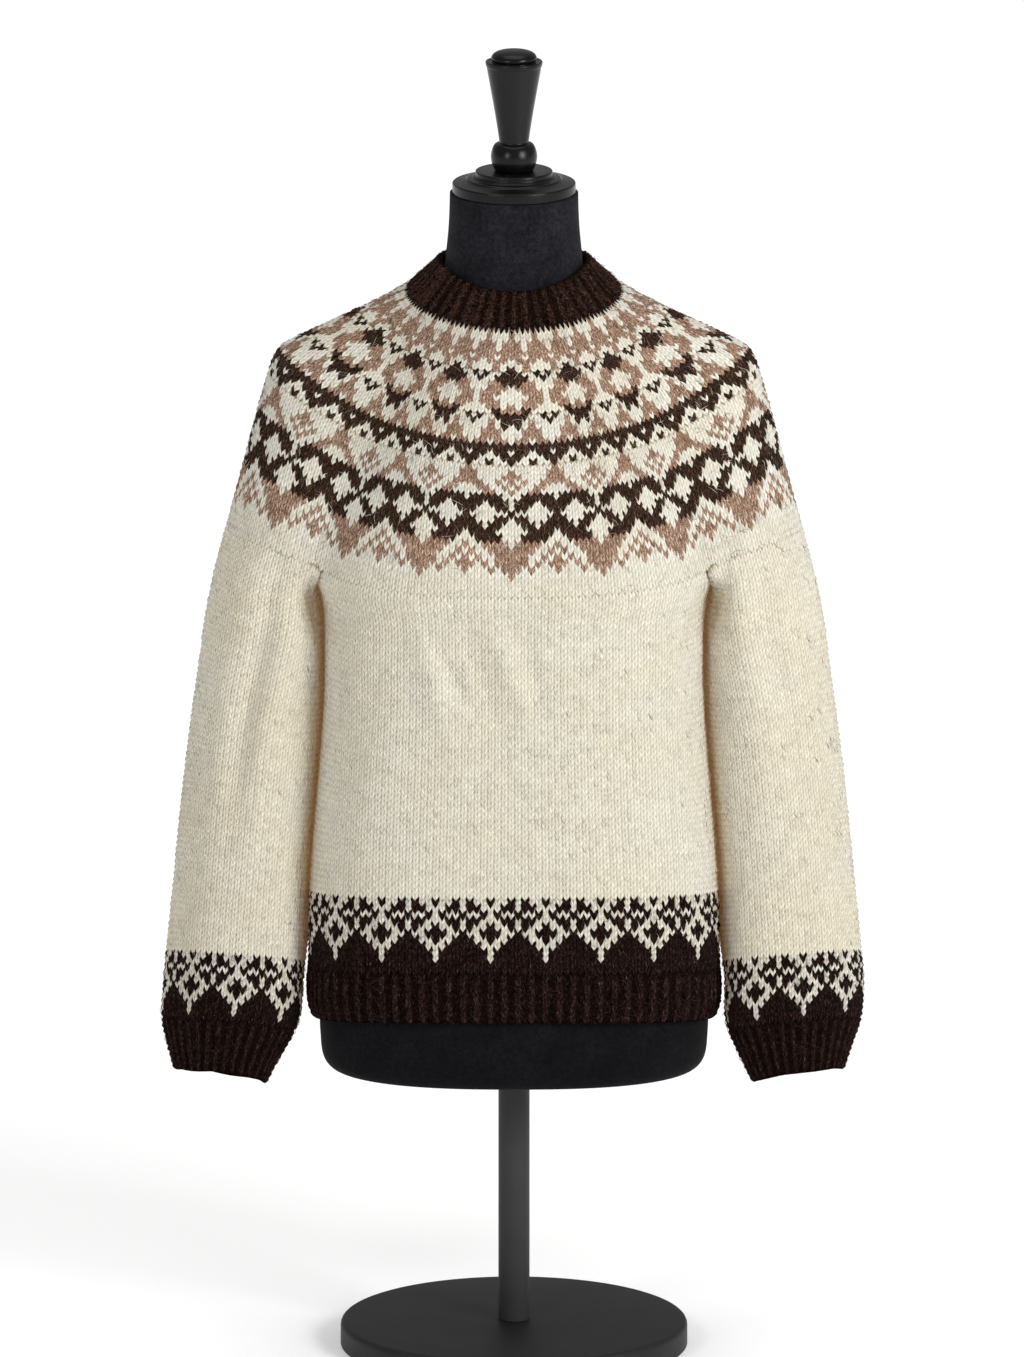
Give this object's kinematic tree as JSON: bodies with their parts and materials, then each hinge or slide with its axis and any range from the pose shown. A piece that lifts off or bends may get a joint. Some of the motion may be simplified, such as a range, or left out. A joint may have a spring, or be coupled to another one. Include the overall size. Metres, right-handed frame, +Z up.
{
  "type": "nordic yoke sweater on a dress form",
  "caption": "Round-yoke wool sweater, patterned at yoke, hem and cuffs, worn by a black limbless dress form on a pole with a round foot plate.",
  "frame": {"origin": "middle of the foot plate's underside, on the floor", "axes": "+Z up the pole, the sweater's front faces -Y, its left-hand sleeve as seen from the front is at -X"},
  "size_m": [0.6176, 0.3068, 1.1722],
  "materials": {
    "cream_wool": "matt, hairy plain knit",
    "patterned_wool": "matt, hairy colour knit",
    "brown_wool": "matt ribbed knit",
    "black_cloth": "matt felted cloth",
    "black_lacquer": "satin black lacquer",
    "black_powder_coat": "satin black powder coat"
  },
  "bodies": {
    "root": {"body": "cream_wool", "hem_band": "patterned_wool", "sleeve_left": "cream_wool", "sleeve_right": "cream_wool", "cuff_left": "patterned_wool", "cuff_right": "patterned_wool", "yoke": "patterned_wool", "neckband": "brown_wool", "form_torso": "black_cloth", "neck_cap": "black_lacquer", "finial": "black_lacquer", "pole": "black_powder_coat", "base": "black_powder_coat"}
  },
  "joints": []
}
